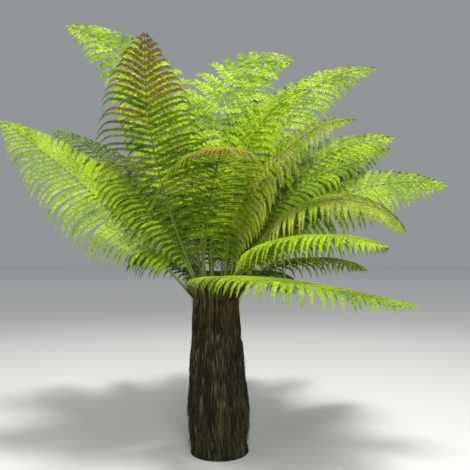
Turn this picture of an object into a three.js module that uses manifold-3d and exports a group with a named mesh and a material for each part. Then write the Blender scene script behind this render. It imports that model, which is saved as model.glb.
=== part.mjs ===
// A tree fern: a stout fibrous trunk that carries a rosette of long arching fronds.
// Each frond is a three-sided rib with a comb of thin drooping leaflets on either side.
// Millimetres, +Z up, the origin in the flat cut at the foot of the trunk. The front faces -Y.
import * as THREE from "three";
import { mergeVertices } from "three/addons/utils/BufferGeometryUtils.js";
import Module from "manifold-3d";

const wasm = await Module();
wasm.setup();

const clearance = 0.3; // between neighbouring solids

const trunk = {
  height: 1105,
  lean: -30, // shift of the tip along X
  profile: [[0, 208], [70, 194], [330, 213], [610, 194], [875, 171], [1105, 172]], // height, radius
};

// Lens-shaped ends of shed fronds, staggered from row to row up the trunk.
const scars = { columns: 21, rows: 8, relief: 11, sidesPerColumn: 2, stepsPerRow: 4 };

// Old frond bases that stand up round the rim.
const stubs = {
  count: 22,
  ring: 146,
  sunk: 50,
  shortest: 80,
  longest: 150,
  rootRadius: 17,
  tipRadius: 8,
  tilt: 22, // outwards from upright, in degrees
  stagger: 137.5, // turn from one stub to the next, in degrees
};

const tones = {
  bright: { color: 0x96b526, roughness: 0.6 },
  middle: { color: 0x7c9a2c, roughness: 0.65 },
  deep: { color: 0x5d7330, roughness: 0.7 },
  olive: { color: 0x8b8f3e, roughness: 0.7 },
};

// azimuth: heading of the foot, 0 right, 90 away, 180 left, 270 to the front, in degrees
// rise, fall: climb of the rib at its foot and at its tip; bend: how late the climb changes
// sweep: turn of the heading from foot to tip; length, reach: of the rib and its longest leaflet
// face: share of the blade's turn towards the light in front, or away from it below 0
// droop: pull of the weight at a leaflet's tip; ring: distance of the foot from the trunk's axis
// foot: heading of the place on the ring, where it isn't the azimuth
// swell: share of the blade over which its leaflets grow long, where it isn't the usual one
const fronds = {
  front_left_tall: {
    azimuth: 205, rise: 64, fall: 64, bend: 1, sweep: 78, length: 1850, reach: 520, face: -0.8,
    droop: 0.7, ring: 120, foot: 235, tone: "olive",
  },
  front_arching: {
    azimuth: 304, rise: 88, fall: -20, bend: 1.9, sweep: -30, length: 1450, reach: 640, face: 0,
    droop: 1.35, ring: 100, foot: 200, tone: "middle",
  },
  left_high: {
    azimuth: 163, rise: 84, fall: 19, bend: 1.8, sweep: 0, length: 2600, reach: 440, face: 0.85,
    droop: 0.5, ring: 60, tone: "bright",
  },
  left_upright: {
    azimuth: 150, rise: 80, fall: 50, bend: 1.2, sweep: 0, length: 2000, reach: 440, face: 0.6,
    droop: 0.8, ring: 85, tone: "middle",
  },
  left_broad: {
    azimuth: 189, rise: 48, fall: 35, bend: 1.5, sweep: 0, length: 1850, reach: 500, face: 0.6,
    droop: 0.9, ring: 140, tone: "bright",
  },
  left_back: {
    azimuth: 152, rise: 64, fall: 22, bend: 1, sweep: 0, length: 2100, reach: 400, face: 0.5,
    droop: 1, ring: 115, tone: "deep",
  },
  left_inner: {
    azimuth: 176, rise: 70, fall: 24, bend: 1.1, sweep: 0, length: 1500, reach: 380, face: 0.4,
    droop: 1, ring: 100, tone: "middle",
  },
  top_middle: {
    azimuth: 126, rise: 84, fall: 3, bend: 2.5, sweep: -110, length: 2480, reach: 500, face: 0.85,
    droop: 0.25, ring: 30, tone: "bright",
  },
  top_inner: {
    azimuth: 6, rise: 84, fall: 6, bend: 3.4, sweep: -35, length: 1720, reach: 440, face: 0.6,
    droop: 0.8, ring: 45, tone: "bright",
  },
  top_right: {
    azimuth: 28, rise: 83, fall: 4, bend: 1.85, sweep: -22, length: 2360, reach: 460, face: 0.6,
    droop: 0.7, ring: 70, tone: "bright",
  },
  middle_upright: {
    azimuth: 64, rise: 86, fall: 40, bend: 1.6, sweep: 0, length: 1800, reach: 420, face: 0.6,
    droop: 0.7, ring: 85, tone: "deep",
  },
  right_upright: {
    azimuth: 5, rise: 72, fall: 2, bend: 1.5, sweep: 0, length: 1850, reach: 420, face: 0.6,
    droop: 0.8, ring: 105, tone: "bright",
  },
  right_inner: {
    azimuth: 354, rise: 72, fall: 6, bend: 1.4, sweep: 0, length: 1500, reach: 400, face: 0.4,
    droop: 1, ring: 85, tone: "middle",
  },
  right_olive: {
    azimuth: 324, rise: 78, fall: -6, bend: 1.9, sweep: 0, length: 1700, reach: 400, face: 0.5,
    droop: 1, ring: 90, tone: "middle",
  },
  right_middle: {
    azimuth: 14, rise: 61, fall: 4, bend: 2, sweep: 0, length: 1800, reach: 400, face: 0.7,
    droop: 0.8, ring: 130, tone: "middle",
  },
  right_bright: {
    azimuth: 348, rise: 62, fall: -12, bend: 1.2, sweep: 0, length: 1800, reach: 440, face: 0.6,
    droop: 0.9, ring: 130, tone: "bright",
  },
  right_droop: {
    azimuth: 330, rise: 69, fall: -55, bend: 1.5, sweep: 0, length: 1650, reach: 400, face: 0.3,
    droop: 1, ring: 125, foot: 334, tone: "middle",
  },
  right_low: {
    azimuth: 313, rise: 73, fall: -17, bend: 0.6, sweep: 0, length: 1470, reach: 460, face: 0,
    droop: 1.1, ring: 140, foot: 307, tone: "bright",
  },
  front_low: {
    azimuth: 265, rise: 62, fall: -12, bend: 0.25, sweep: 95, length: 1980, reach: 460, face: 0,
    droop: 0.7, ring: 140, foot: 205, swell: 0.75, tone: "middle",
  },
  back_tall: {
    azimuth: 112, rise: 80, fall: 10, bend: 1.2, sweep: 0, length: 2100, reach: 420, face: 0.2,
    droop: 0.8, ring: 60, tone: "middle",
  },
  back_left: {
    azimuth: 136, rise: 64, fall: -10, bend: 1, sweep: 0, length: 2000, reach: 420, face: 0,
    droop: 0.9, ring: 130, tone: "middle",
  },
  back_middle: {
    azimuth: 96, rise: 60, fall: -15, bend: 0.9, sweep: 0, length: 2000, reach: 420, face: 0,
    droop: 0.9, ring: 115, tone: "bright",
  },
  back_right: {
    azimuth: 58, rise: 62, fall: -12, bend: 1, sweep: 0, length: 2000, reach: 420, face: 0,
    droop: 0.9, ring: 120, tone: "middle",
  },
  back_low_left: {
    azimuth: 118, rise: 46, fall: -20, bend: 0.7, sweep: 0, length: 1800, reach: 400, face: 0,
    droop: 1, ring: 145, tone: "deep",
  },
  back_low_right: {
    azimuth: 76, rise: 46, fall: -20, bend: 0.7, sweep: 0, length: 1800, reach: 400, face: 0,
    droop: 1, ring: 145, tone: "deep",
  },
  right_back_low: {
    azimuth: 34, rise: 46, fall: -20, bend: 0.7, sweep: 0, length: 1500, reach: 400, face: 0,
    droop: 1, ring: 145, tone: "middle",
  },
  back_skirt_left: {
    azimuth: 127, rise: 50, fall: -20, bend: 0.8, sweep: 0, length: 1200, reach: 400, face: 0,
    droop: 1.2, ring: 148, tone: "deep",
  },
  back_skirt_middle: {
    azimuth: 90, rise: 42, fall: -38, bend: 0.8, sweep: 0, length: 1200, reach: 420, face: 0,
    droop: 1.2, ring: 148, tone: "deep",
  },
  back_skirt_right: {
    azimuth: 60, rise: 42, fall: -38, bend: 0.8, sweep: 0, length: 1250, reach: 400, face: 0,
    droop: 1.2, ring: 148, tone: "deep",
  },
};

const rib = {
  steps: 72,
  footWidth: 11, // half the width of the section, and its depth, at foot and tip
  tipWidth: 3,
  footDepth: 20,
  tipDepth: 5,
  bareStations: 3, // sections along the bare stalk
  widestTurn: 45, // a rib that turns further than this is parted at its bend, in degrees
};

const leaflets = {
  pairs: 13,
  bare: 0.17, // share of the rib with no leaflets
  swell: 0.32, // share of the blade over which they grow to their full length
  rootLean: 80, // from the rib's direction, in degrees, at the first pair and the last
  tipLean: 42,
  lift: 0.12, // of the root above the blade, in radians
  droopPower: 1.4, // how late along a leaflet its droop sets in
  steps: 8,
  rootShare: 0.44, // of the spacing that a root takes up
  width: 0.43, // half the width at the inner and outer section, as a share of the spacing
  outerWidth: 0.33,
  depth: 1 / 75, // of the leaflet's length
  thinnest: 2.4,
  shortLength: 170, // below this a leaflet has one section, and below the next it is left out
  leastLength: 45,
  retries: 5,
  retryShare: 0.8,
};

const light = new THREE.Vector3(0, -0.94, 0.34); // where the lit blades turn to
const crown = new THREE.Vector3(trunk.lean, 0, trunk.height);
const radians = THREE.MathUtils.degToRad;
const mix = THREE.MathUtils.lerp;

// The rib's path: its climb and heading change evenly from foot to tip, in small straight steps.
function headingAt(frond, s) {
  return radians(frond.azimuth + frond.sweep * s);
}

function directionAt(frond, s) {
  const climb = radians(mix(frond.rise, frond.fall, s ** frond.bend));
  const heading = headingAt(frond, s);
  return new THREE.Vector3(
    Math.cos(climb) * Math.cos(heading),
    Math.cos(climb) * Math.sin(heading),
    Math.sin(climb),
  );
}

function ribPath(frond) {
  const foot = radians(frond.foot ?? frond.azimuth);
  const point = new THREE.Vector3(Math.cos(foot), Math.sin(foot), 0);
  point.multiplyScalar(frond.ring).add(crown);
  const path = [point.clone()];
  for (let i = 0; i < rib.steps; i++) {
    point.addScaledVector(directionAt(frond, (i + 0.5) / rib.steps), frond.length / rib.steps);
    path.push(point.clone());
  }
  return path;
}

// Place, forward, left and up at a share s of the rib, with the blade turned towards the light.
function frameAt(frond, path, s) {
  const x = s * rib.steps;
  const i = Math.min(Math.floor(x), rib.steps - 1);
  const place = path[i].clone().lerp(path[i + 1], x - i);
  const forward = directionAt(frond, s);
  const heading = headingAt(frond, s);
  const level = new THREE.Vector3(-Math.sin(heading), Math.cos(heading), 0);
  const lit = light.clone().addScaledVector(forward, -light.dot(forward));
  lit.setLength(Math.sign(frond.face) || 1);
  const up = forward.clone().cross(level).lerp(lit, Math.abs(frond.face)).normalize();
  const left = up.clone().cross(forward);
  return { place, forward, left, up };
}

// Length of the leaflets along the blade, as a share of its reach.
function outline(frond, q) {
  const rise = Math.min(1, q / (frond.swell ?? leaflets.swell));
  return (0.25 + 0.75 * rise * rise * (3 - 2 * rise)) * (1 - q ** 3) ** 0.9;
}

function ribSection(frond, path, s) {
  const { place, left, up } = frameAt(frond, path, s);
  const width = mix(rib.footWidth, rib.tipWidth, s);
  const depth = mix(rib.footDepth, rib.tipDepth, s);
  return [
    place.clone().addScaledVector(left, width),
    place.clone().addScaledVector(left, -width),
    place.clone().addScaledVector(up, -depth),
  ];
}

// The foot's section slides along the rib onto a level plane just over the trunk's top.
function footSection(frond, path) {
  const forward = directionAt(frond, 0);
  return ribSection(frond, path, 0).map((corner) =>
    corner.addScaledVector(forward, (crown.z + clearance - corner.z) / forward.z),
  );
}

function pairPlace(pair) {
  const q = (pair + 0.5) / leaflets.pairs;
  return { q, s: leaflets.bare + (1 - leaflets.bare) * q };
}

const pairSpacing = (1 - leaflets.bare) / leaflets.pairs;

// A leaflet leaves the blade, points forward the more the nearer it is to the tip, and droops.
function leafletSections(frond, path, leaflet) {
  const { q, s } = pairPlace(leaflet.pair);
  const { place, forward, left, up } = frameAt(frond, path, s);
  const lean = radians(mix(leaflets.rootLean, leaflets.tipLean, q * q));
  const out = left.multiplyScalar(leaflet.hand * Math.cos(leaflets.lift));
  out.addScaledVector(up, Math.sin(leaflets.lift)).multiplyScalar(Math.sin(lean));
  const start = forward.clone().multiplyScalar(Math.cos(lean)).add(out);
  const spacing = pairSpacing * frond.length;
  const depth = Math.max(leaflets.thinnest, leaflet.length * leaflets.depth);
  const short = leaflet.length < leaflets.shortLength;
  const cuts = short
    ? new Map([[3, leaflets.outerWidth]])
    : new Map([[3, leaflets.width], [6, leaflets.outerWidth]]);
  const sections = [];
  for (let k = 0; k < leaflets.steps; k++) {
    const weight = frond.droop * ((k + 0.5) / leaflets.steps) ** leaflets.droopPower;
    const along = start.clone().setZ(start.z - weight).normalize();
    place.addScaledVector(along, leaflet.length / leaflets.steps);
    if (!cuts.has(k + 1)) continue;
    const width = cuts.get(k + 1) * spacing;
    const over = forward.clone().cross(along).normalize().multiplyScalar(leaflet.hand);
    sections.push([
      place.clone().addScaledVector(forward, -width),
      place.clone().addScaledVector(forward, width),
      place.clone().addScaledVector(over, -depth),
    ]);
  }
  sections.push([place]);
  return sections;
}

// Faces between a ring of corners and the next one, whose corners are shared where it has fewer.
function addWalls(faces, ring, next, partner, flip) {
  for (let i = 0; i < ring.length; i++) {
    const j = (i + 1) % ring.length;
    const [a, b, c, d] = [ring[i], ring[j], next[partner[j]], next[partner[i]]];
    const pieces = c === d ? [[a, b, c]] : [[a, b, c], [a, c, d]];
    for (const [p, q, r] of pieces) faces.push(...(flip ? [p, r, q] : [p, q, r]));
  }
}

function addLeaflet(faces, root, sections, flip) {
  let ring = root;
  for (const next of sections) {
    const partner = next.length === 1 ? [0, 0, 0] : ring.length === 4 ? [0, 1, 2, 2] : [0, 1, 2];
    addWalls(faces, ring, next, partner, flip);
    ring = next;
  }
}

// The rib's side between two of its sections, seen from outside, where a leaflet grows out.
function leafletRoot(back, front, hand) {
  const [edge, keel] = [hand > 0 ? 0 : 1, 2];
  return [back[edge], front[edge], front[keel], back[keel]];
}

function geometryOf(faces) {
  const positions = new Float32Array(faces.flatMap((corner) => corner.toArray()));
  const loose = new THREE.BufferGeometry();
  loose.setAttribute("position", new THREE.BufferAttribute(positions, 3));
  return mergeVertices(loose, 1e-3);
}

function solidOf(geometry) {
  const bare = geometry.clone();
  for (const name of Object.keys(bare.attributes)) if (name !== "position") bare.deleteAttribute(name);
  const merged = mergeVertices(bare, 1e-3);
  return new wasm.Manifold(
    new wasm.Mesh({
      numProp: 3,
      vertProperties: new Float32Array(merged.attributes.position.array),
      triVerts: new Uint32Array(merged.index.array),
    }),
  );
}

function geometryOfSolid(solid) {
  const mesh = solid.getMesh();
  const geometry = new THREE.BufferGeometry();
  geometry.setAttribute("position", new THREE.BufferAttribute(mesh.vertProperties, 3));
  geometry.setIndex(new THREE.BufferAttribute(mesh.triVerts, 1));
  return geometry;
}

// A stretch of a frond, from one gap between pairs to another, with the leaflets that it keeps.
function frondFaces(frond, path, kept, fromPair, toPair) {
  const half = (pairSpacing * leaflets.rootShare) / 2;
  const parting = clearance / 2 / frond.length;
  const stations = [];
  if (fromPair === 0) {
    stations.push({ ring: footSection(frond, path) });
    for (let i = 1; i < rib.bareStations; i++)
      stations.push({ ring: ribSection(frond, path, (leaflets.bare * i) / rib.bareStations) });
  } else {
    const s = pairPlace(fromPair - 0.5).s + parting;
    stations.push({ ring: ribSection(frond, path, s) });
  }
  for (let pair = fromPair; pair < toPair; pair++) {
    const { s } = pairPlace(pair);
    stations.push({ ring: ribSection(frond, path, s - half), pair });
    stations.push({ ring: ribSection(frond, path, s + half) });
  }
  const last = toPair === leaflets.pairs ? 1 : pairPlace(toPair - 0.5).s - parting;
  const end = toPair === leaflets.pairs ? [frameAt(frond, path, 1).place] : ribSection(frond, path, last);

  const faces = [];
  const [l0, r0, k0] = stations[0].ring;
  faces.push(l0, k0, r0);
  for (let i = 0; i + 1 < stations.length; i++) {
    const [back, front] = [stations[i].ring, stations[i + 1].ring];
    faces.push(back[1], front[1], front[0], back[1], front[0], back[0]);
    for (const hand of [1, -1]) {
      const root = leafletRoot(back, front, hand);
      const own = kept.find((leaflet) => leaflet.pair === stations[i].pair && leaflet.hand === hand);
      if (own) {
        addLeaflet(faces, root, leafletSections(frond, path, own), hand < 0);
      } else {
        const [a, b, c, d] = root;
        faces.push(...(hand > 0 ? [a, b, c, a, c, d] : [a, c, b, a, d, c]));
      }
    }
  }
  const [left, right, keel] = stations[stations.length - 1].ring;
  const endOf = (i) => end[end.length === 1 ? 0 : i];
  const sides = [[right, left, 1, 0], [left, keel, 0, 2], [keel, right, 2, 1]];
  for (const [a, b, i, j] of sides) {
    faces.push(a, endOf(i), b);
    if (end.length === 3) faces.push(b, endOf(i), endOf(j));
  }
  if (end.length === 3) faces.push(...end);
  return faces;
}

// One leaflet as a closed solid by itself, to test its room.
function leafletSolid(frond, path, leaflet) {
  const half = (pairSpacing * leaflets.rootShare) / 2;
  const { s } = pairPlace(leaflet.pair);
  const rings = [ribSection(frond, path, s - half), ribSection(frond, path, s + half)];
  const root = leafletRoot(...rings, leaflet.hand);
  const faces = [];
  addLeaflet(faces, root, leafletSections(frond, path, leaflet), leaflet.hand < 0);
  const [a, b, c, d] = root;
  faces.push(...(leaflet.hand > 0 ? [a, c, b, a, d, c] : [a, b, c, a, c, d]));
  return solidOf(geometryOf(faces));
}

function isClear(solid, others) {
  return others.every((other) => solid.minGap(other, 2 * clearance) >= clearance);
}

// Leaflets grow in pairs. One that would touch something is drawn again shorter, and then skipped.
// The two of a pair meet in the keel of the rib, so they aren't held against each other.
function growLeaflets(frond, path, others) {
  const kept = [];
  const grown = [];
  for (let pair = 0; pair < leaflets.pairs; pair++) {
    const earlier = [...grown];
    for (const hand of [1, -1]) {
      const leaflet = { pair, hand, length: frond.reach * outline(frond, pairPlace(pair).q) };
      for (let attempt = 0; attempt < leaflets.retries; attempt++) {
        if (leaflet.length < leaflets.leastLength) break;
        const solid = leafletSolid(frond, path, leaflet);
        if (isClear(solid, others) && isClear(solid, earlier)) {
          kept.push(leaflet);
          grown.push(solid);
          break;
        }
        leaflet.length *= leaflets.retryShare;
      }
    }
  }
  return kept;
}

// The pair before which half of the rib's turn is done, where a strongly bent frond is parted.
function bendPair(frond) {
  const start = directionAt(frond, 0);
  const turn = (s) => THREE.MathUtils.radToDeg(start.angleTo(directionAt(frond, s)));
  if (turn(1) < rib.widestTurn) return 0;
  let pair = 4;
  while (turn(pairPlace(pair - 0.5).s) < turn(1) / 2) pair++;
  return Math.min(pair, leaflets.pairs - 4);
}

// Radius between the profile's named heights, with no corner at them.
function profileRadius(height) {
  const above = Math.max(1, trunk.profile.findIndex(([level]) => level >= height));
  const [[low, lowRadius], [high, highRadius]] = trunk.profile.slice(above - 1, above + 1);
  return mix(lowRadius, highRadius, THREE.MathUtils.smoothstep(height, low, high));
}

function scarRelief(angle, height) {
  const row = (height / trunk.height) * scars.rows;
  const column = (angle / (2 * Math.PI)) * scars.columns + 0.5 * Math.floor(row);
  const across = 2 * (column - Math.floor(column)) - 1;
  const along = 2 * (row - Math.floor(row)) - 1;
  const lens = (1 - across * across) * (1 - along * along);
  return scars.relief * (lens - 0.5);
}

// The trunk's skin: rings of corners that follow the profile, the lean and the scars.
function trunkGeometry() {
  const rows = scars.rows * scars.stepsPerRow;
  const sides = scars.columns * scars.sidesPerColumn;
  const ringAt = (row) => {
    const height = (trunk.height * row) / rows;
    const edge = row === 0 || row === rows;
    return Array.from({ length: sides }, (_, i) => {
      const angle = (2 * Math.PI * i) / sides;
      const radius = profileRadius(height) + (edge ? 0 : scarRelief(angle, height));
      const x = (trunk.lean * height) / trunk.height + radius * Math.cos(angle);
      return new THREE.Vector3(x, radius * Math.sin(angle), height);
    });
  };
  const faces = [];
  const next = Array.from({ length: sides }, (_, i) => i);
  for (let row = 0; row < rows; row++) addWalls(faces, ringAt(row), ringAt(row + 1), next, false);
  const [foot, rim] = [ringAt(0), ringAt(rows)];
  for (let i = 0; i < sides; i++) {
    const j = (i + 1) % sides;
    faces.push(foot[j], foot[i], new THREE.Vector3(0, 0, 0));
    faces.push(rim[i], rim[j], crown);
  }
  return geometryOf(faces);
}

// Old frond bases: tapered pegs sunk in the rim, left out where a living frond passes.
function stubSolids(ribs) {
  const solids = [];
  for (let i = 0; i < stubs.count; i++) {
    const turn = radians(stubs.stagger * i);
    const height = stubs.sunk + mix(stubs.shortest, stubs.longest, (i % 5) / 4);
    const peg = new THREE.CylinderGeometry(stubs.tipRadius, stubs.rootRadius, height, 6);
    peg.rotateX(Math.PI / 2);
    peg.translate(0, 0, height / 2 - stubs.sunk);
    peg.rotateY(radians(stubs.tilt));
    peg.translate(stubs.ring, 0, 0);
    peg.rotateZ(turn);
    peg.translate(crown.x, crown.y, crown.z);
    const solid = solidOf(peg);
    if (isClear(solid, ribs)) solids.push(solid);
  }
  return solids;
}

const treeFern = new THREE.Group();

function addNode(name, geometry, look) {
  const material = new THREE.MeshStandardMaterial({ metalness: 0, ...look });
  const mesh = new THREE.Mesh(geometry, material);
  mesh.name = name;
  treeFern.add(mesh);
}

const paths = new Map();
const solids = new Map();
for (const [name, frond] of Object.entries(fronds)) {
  paths.set(name, ribPath(frond));
  solids.set(name, solidOf(geometryOf(frondFaces(frond, paths.get(name), [], 0, leaflets.pairs))));
}

const bole = stubSolids([...solids.values()]).reduce((sum, stub) => sum.add(stub), solidOf(trunkGeometry()));
addNode("trunk", geometryOfSolid(bole), { color: 0x3a332a, roughness: 0.95 });

for (const [name, frond] of Object.entries(fronds)) {
  const path = paths.get(name);
  const others = [...solids].filter(([other]) => other !== name).map(([, solid]) => solid);
  const kept = growLeaflets(frond, path, [bole, ...others]);
  solids.set(name, solidOf(geometryOf(frondFaces(frond, path, kept, 0, leaflets.pairs))));
  const parting = bendPair(frond);
  const ends = parting ? [0, parting, leaflets.pairs] : [0, leaflets.pairs];
  const endings = parting ? ["_lower", "_outer"] : [""];
  endings.forEach((ending, i) => {
    const faces = frondFaces(frond, path, kept, ends[i], ends[i + 1]);
    addNode(`frond_${name}${ending}`, geometryOf(faces), tones[frond.tone]);
  });
}

export default treeFern;
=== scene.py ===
import math

import bpy
import numpy as np
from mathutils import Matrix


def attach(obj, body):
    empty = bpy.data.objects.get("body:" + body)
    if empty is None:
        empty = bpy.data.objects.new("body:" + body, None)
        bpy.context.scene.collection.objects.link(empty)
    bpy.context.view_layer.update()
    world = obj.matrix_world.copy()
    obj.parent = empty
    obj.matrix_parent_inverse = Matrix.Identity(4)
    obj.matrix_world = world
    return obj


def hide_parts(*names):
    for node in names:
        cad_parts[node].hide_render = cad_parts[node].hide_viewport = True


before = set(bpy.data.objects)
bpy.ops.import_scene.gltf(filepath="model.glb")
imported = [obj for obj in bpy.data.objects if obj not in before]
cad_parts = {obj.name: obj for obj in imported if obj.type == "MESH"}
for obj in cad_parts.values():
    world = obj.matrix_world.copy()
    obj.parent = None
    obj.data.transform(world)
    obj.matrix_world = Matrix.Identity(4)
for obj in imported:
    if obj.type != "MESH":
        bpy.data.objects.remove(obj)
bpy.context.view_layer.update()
print("frame loaded")

# The whole plant, in metres: +Z is up, the front faces -Y
plant = {
    "crown": (-0.03, 0.0, 1.105),  # where the fronds leave the trunk
    "light": (0.0, -0.94, 0.34),   # where the lit blades turn to
    "seed": 7,
    "mostTriangles": 190000,       # of one joined piece of foliage
}

# azimuth, rise, fall, bend, sweep: heading and climb of the rib, in degrees, and how late it bends over
# ring, foot: how far it stands from the crown's middle, and in which direction where that isn't its azimuth
# length, reach, droop: of the rib, of its longest leaflets, and how far these hang
# face, turn: how far the blade turns to the light, or its back where below 0, and each leaflet to the sky
# pairs, tone: how many pairs of leaflets, and which colours they are dealt, which paint the frond as lit or
# as shaded
# swell, inner, russet: its own shares of the blade for growth, for leaflets painted darker as painted shade
# near the crown, and where russet starts
fronds = {
    "front_left_tall": dict(azimuth=205, rise=64, fall=64, bend=1, sweep=78, length=1.85, reach=0.52,
                            face=-0.8, droop=0.7, ring=0.12, foot=235, turn=0.6, pairs=38, tone="olive",
                            russet=0.6, inner=0.3),
    "front_arching": dict(azimuth=304, rise=88, fall=-20, bend=1.9, sweep=-30, length=1.45, reach=0.64,
                          face=0, droop=1.35, ring=0.1, foot=200, turn=0.85, pairs=34, tone="domed",
                          russet=0.68, inner=0.5),
    "left_high": dict(azimuth=163, rise=84, fall=19, bend=1.8, sweep=0, length=2.6, reach=0.44, face=0.85,
                      droop=0.5, ring=0.06, turn=0.2, pairs=26, tone="bright"),
    "left_upright": dict(azimuth=150, rise=80, fall=50, bend=1.2, sweep=0, length=2.0, reach=0.44, face=0.6,
                         droop=0.8, ring=0.085, turn=0.3, pairs=30, tone="middle"),
    "left_broad": dict(azimuth=189, rise=48, fall=35, bend=1.5, sweep=0, length=1.85, reach=0.5, face=0.6,
                       droop=0.9, ring=0.14, turn=0.35, pairs=42, tone="bright"),
    "left_back": dict(azimuth=152, rise=64, fall=22, bend=1, sweep=0, length=2.1, reach=0.4, face=0.5,
                      droop=1, ring=0.115, turn=0.3, pairs=28, tone="deep"),
    "left_inner": dict(azimuth=176, rise=70, fall=24, bend=1.1, sweep=0, length=1.5, reach=0.38, face=0.4,
                       droop=1, ring=0.1, turn=0.3, pairs=30, tone="middle"),
    "top_middle": dict(azimuth=126, rise=84, fall=3, bend=2.5, sweep=-110, length=2.48, reach=0.5, face=0.85,
                       droop=0.25, ring=0.03, turn=0.1, pairs=20, tone="clear", inner=0.5),
    "top_inner": dict(azimuth=6, rise=84, fall=6, bend=3.4, sweep=-35, length=1.72, reach=0.44, face=0.6,
                      droop=0.8, ring=0.045, turn=0.25, pairs=24, tone="bright"),
    "top_right": dict(azimuth=28, rise=83, fall=4, bend=1.85, sweep=-22, length=2.36, reach=0.46, face=0.6,
                      droop=0.7, ring=0.07, turn=0.25, pairs=27, tone="bright"),
    "middle_upright": dict(azimuth=64, rise=86, fall=40, bend=1.6, sweep=0, length=1.8, reach=0.42, face=0.6,
                           droop=0.7, ring=0.085, turn=0.3, pairs=26, tone="deep"),
    "right_upright": dict(azimuth=5, rise=72, fall=2, bend=1.5, sweep=0, length=1.85, reach=0.42, face=0.6,
                          droop=0.8, ring=0.105, turn=0.3, pairs=31, tone="bright"),
    "right_inner": dict(azimuth=354, rise=72, fall=6, bend=1.4, sweep=0, length=1.5, reach=0.4, face=0.4,
                        droop=1, ring=0.085, turn=0.3, pairs=29, tone="middle"),
    "right_olive": dict(azimuth=324, rise=78, fall=-6, bend=1.9, sweep=0, length=1.7, reach=0.4, face=0.5,
                        droop=1, ring=0.09, turn=0.3, pairs=34, tone="faded"),
    "right_middle": dict(azimuth=14, rise=61, fall=4, bend=2, sweep=0, length=1.8, reach=0.4, face=0.7,
                         droop=0.8, ring=0.13, turn=0.3, pairs=31, tone="middle"),
    "right_bright": dict(azimuth=348, rise=62, fall=-12, bend=1.2, sweep=0, length=1.8, reach=0.44, face=0.6,
                         droop=0.9, ring=0.13, turn=0.3, pairs=36, tone="bright"),
    "right_droop": dict(azimuth=330, rise=69, fall=-55, bend=1.5, sweep=0, length=1.65, reach=0.4, face=0.3,
                        droop=1, ring=0.125, foot=334, turn=0.3, pairs=36, tone="faded"),
    "right_low": dict(azimuth=313, rise=73, fall=-17, bend=0.6, sweep=0, length=1.47, reach=0.46, face=0,
                      droop=1.1, ring=0.14, foot=307, turn=0.5, pairs=32, tone="sunlitOnly", inner=0.06),
    "front_low": dict(azimuth=265, rise=62, fall=-12, bend=0.25, sweep=95, length=1.98, reach=0.46, face=0,
                      droop=0.7, ring=0.14, foot=205, swell=0.75, turn=0.2, pairs=42, tone="middle"),
    "back_tall": dict(azimuth=112, rise=80, fall=10, bend=1.2, sweep=0, length=2.1, reach=0.42, face=0.2,
                      droop=0.8, ring=0.06, turn=0.3, pairs=29, tone="middle"),
    "back_left": dict(azimuth=136, rise=64, fall=-10, bend=1, sweep=0, length=2.0, reach=0.42, face=0,
                      droop=0.9, ring=0.13, turn=0.3, pairs=28, tone="middle"),
    "back_middle": dict(azimuth=96, rise=60, fall=-15, bend=0.9, sweep=0, length=2.0, reach=0.42, face=0,
                        droop=0.9, ring=0.115, turn=0.3, pairs=28, tone="bright"),
    "back_right": dict(azimuth=58, rise=62, fall=-12, bend=1, sweep=0, length=2.0, reach=0.42, face=0,
                       droop=0.9, ring=0.12, turn=0.3, pairs=28, tone="middle"),
    "back_low_left": dict(azimuth=118, rise=46, fall=-20, bend=0.7, sweep=0, length=1.8, reach=0.4, face=0,
                          droop=1, ring=0.145, turn=0.3, pairs=27, tone="deep"),
    "back_low_right": dict(azimuth=76, rise=46, fall=-20, bend=0.7, sweep=0, length=1.8, reach=0.4, face=0,
                           droop=1, ring=0.145, turn=0.3, pairs=27, tone="deep"),
    "right_back_low": dict(azimuth=34, rise=46, fall=-20, bend=0.7, sweep=0, length=1.5, reach=0.4, face=0,
                           droop=1, ring=0.145, turn=0.3, pairs=27, tone="middle"),
    "back_skirt_left": dict(azimuth=127, rise=50, fall=-20, bend=0.8, sweep=0, length=1.2, reach=0.4, face=0,
                            droop=1.2, ring=0.148, turn=0.3, pairs=23, tone="deep"),
    "back_skirt_middle": dict(azimuth=90, rise=42, fall=-38, bend=0.8, sweep=0, length=1.2, reach=0.42,
                              face=0, droop=1.2, ring=0.148, turn=0.3, pairs=23, tone="deep"),
    "back_skirt_right": dict(azimuth=60, rise=42, fall=-38, bend=0.8, sweep=0, length=1.25, reach=0.4,
                             face=0, droop=1.2, ring=0.148, turn=0.3, pairs=23, tone="deep"),
}

rng = np.random.default_rng(plant["seed"])


def mix(a, b, share):
    return a + (b - a) * share


def unit(v):
    v = np.asarray(v, float)
    return v / np.linalg.norm(v, axis=-1, keepdims=True)


def smooth(x):
    x = np.clip(x, 0, 1)
    return x * x * (3 - 2 * x)


# The direction at a turn from +X and a climb, both in degrees
def level(degrees, climb=0):
    turn, lift = math.radians(degrees), math.radians(climb)
    return np.array([math.cos(turn) * math.cos(lift), math.sin(turn) * math.cos(lift), math.sin(lift)])


# The same for many turns in radians, with no climb
def outwards(turn):
    return np.stack([np.cos(turn), np.sin(turn), np.zeros(len(turn))], -1)


# Places at the shares t of a path, the direction there, and the step that each place is in
def alongPath(points, t):
    x = t * (len(points) - 1)
    i = np.minimum(x.astype(int), len(points) - 2)
    f = (x - i)[:, None]
    return points[i] * (1 - f) + points[i + 1] * f, unit(points[i + 1] - points[i]), i


def addObject(name, data):
    thing = bpy.data.objects.new(name, data)
    bpy.context.scene.collection.objects.link(thing)
    return thing


def meshObject(name, corners, faces, smoothed=True):
    mesh = bpy.data.meshes.new(name)
    mesh.from_pydata([tuple(c) for c in corners], [], faces)
    mesh.validate()
    if smoothed:
        mesh.shade_smooth()
    else:
        mesh.shade_flat()
    return addObject(name, mesh)


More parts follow.
